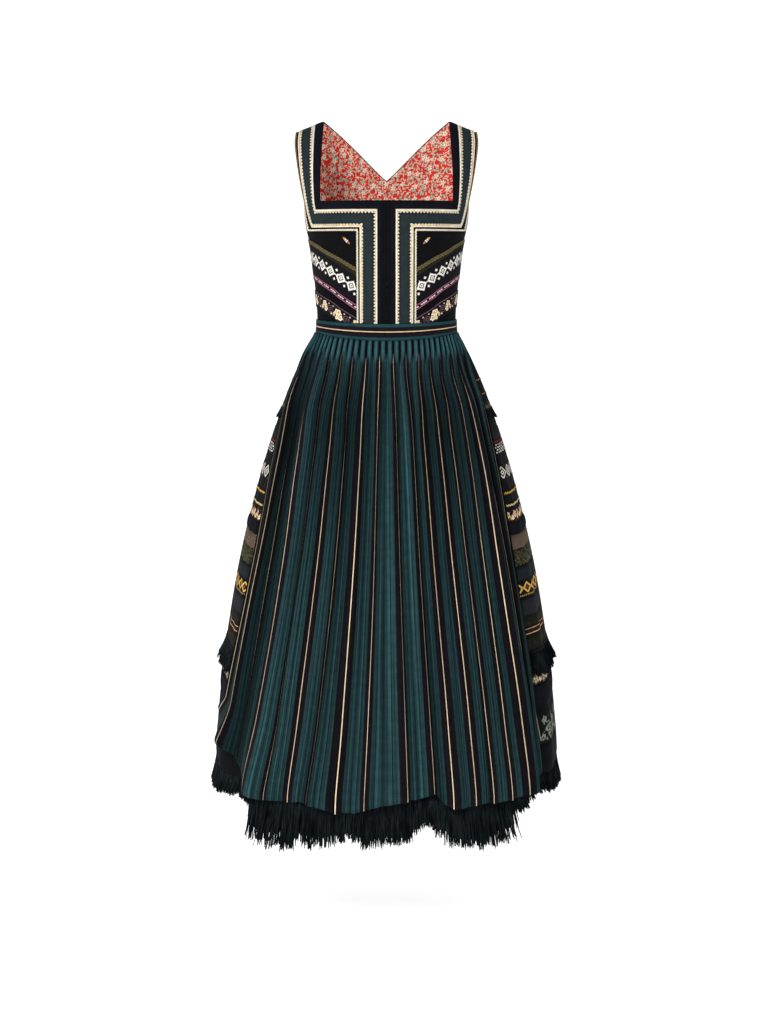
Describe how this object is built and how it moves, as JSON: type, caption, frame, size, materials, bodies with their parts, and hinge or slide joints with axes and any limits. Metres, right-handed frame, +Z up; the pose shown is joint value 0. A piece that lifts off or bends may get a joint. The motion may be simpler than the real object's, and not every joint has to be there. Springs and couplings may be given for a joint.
{
  "type": "dirndl",
  "caption": "Sleeveless dirndl with a square-necked trimmed bodice, a V back, a full ribbon-striped skirt with fringe, and a gathered apron, filled out with no wearer.",
  "frame": {"origin": "midway between the tops of the two shoulder straps, where a wearer or a dress form holds the dress up", "axes": "+Z up, the front of the dress faces -Y, +X is the wearer's left-hand side (right in a front view)"},
  "size_m": [0.6457, 0.6234, 1.2031],
  "materials": {
    "bodice_cloth": "matt woven cotton",
    "ribbed_ribbon": "ribbed grosgrain",
    "black_velvet": "cotton velvet",
    "cream_braid": "woven picot braid",
    "slate_ribbon": "fine textured ribbon",
    "olive_braid": "braided bronze and olive trim",
    "diamond_ribbon": "patterned woven ribbon",
    "pink_ribbon": "patterned woven ribbon",
    "floral_ribbon": "patterned woven ribbon",
    "red_lining": "printed cotton",
    "skirt_cloth": "cotton covered in woven ribbons",
    "apron_cloth": "striped cotton with a soft sheen",
    "black_yarn": "loose twisted yarn"
  },
  "bodies": {
    "root": {"bodice_front_left": "bodice_cloth", "bodice_front_right": "bodice_cloth", "placket_left": "ribbed_ribbon", "placket_right": "ribbed_ribbon", "velvet_edging_left": "black_velvet", "velvet_edging_right": "black_velvet", "inner_braid_left": "cream_braid", "inner_braid_right": "cream_braid", "slate_ribbon_left": "slate_ribbon", "slate_ribbon_right": "slate_ribbon", "outer_braid_left": "cream_braid", "outer_braid_right": "cream_braid", "wavy_braid_left": "cream_braid", "wavy_braid_right": "cream_braid", "olive_braid_left": "olive_braid", "olive_braid_right": "olive_braid", "diamond_ribbon_left": "diamond_ribbon", "diamond_ribbon_right": "diamond_ribbon", "pink_ribbon_left": "pink_ribbon", "pink_ribbon_right": "pink_ribbon", "floral_ribbon_left": "floral_ribbon", "floral_ribbon_right": "floral_ribbon", "bodice_back": "bodice_cloth", "lining_back": "red_lining", "skirt": "skirt_cloth", "upper_velvet_band": "black_velvet", "lower_velvet_band": "black_velvet", "waistband": "apron_cloth", "apron": "apron_cloth", "upper_tassels": "black_yarn", "lower_tassels": "black_yarn", "hem_fringe": "black_yarn"}
  },
  "joints": []
}
